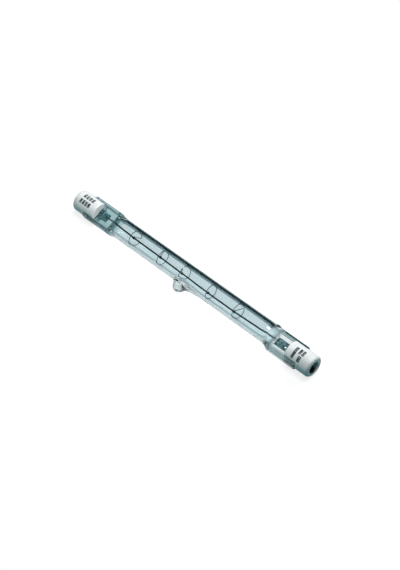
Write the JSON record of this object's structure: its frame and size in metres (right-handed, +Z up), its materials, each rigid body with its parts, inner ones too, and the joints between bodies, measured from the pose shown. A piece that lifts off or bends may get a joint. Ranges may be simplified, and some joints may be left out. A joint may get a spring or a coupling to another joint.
{
  "type": "linear halogen bulb",
  "caption": "Double-ended linear halogen lamp: a sealed quartz tube with a long coiled filament on ring supports, flattened ends, and a recessed contact in a ceramic cap at each end.",
  "frame": {"origin": "centre of the lamp's bounding box in X and Y, on the surface it lies on", "axes": "+X along the tube, the long way; +Z up, out of the surface; the sealed exhaust nub is on the -Y side and touches the surface"},
  "size_m": [0.1176, 0.0118, 0.0083],
  "materials": {
    "quartz": "gloss",
    "ceramic": "satin",
    "contact_metal": "satin",
    "foil": "satin",
    "lead_wire": "satin",
    "cement": "matte",
    "tungsten": "satin"
  },
  "bodies": {
    "root": {"quartz_envelope": "quartz", "ceramic_cap_left": "ceramic", "ceramic_cap_right": "ceramic", "contact_left": "contact_metal", "contact_right": "contact_metal", "foil_left": "foil", "foil_right": "foil", "inner_lead_left": "lead_wire", "inner_lead_right": "lead_wire", "outer_lead_left": "lead_wire", "outer_lead_right": "lead_wire", "cement_left": "cement", "cement_right": "cement", "filament_coil": "tungsten", "filament_support_1": "tungsten", "filament_support_2": "tungsten", "filament_support_3": "tungsten", "filament_support_4": "tungsten", "filament_support_5": "tungsten"}
  },
  "joints": []
}
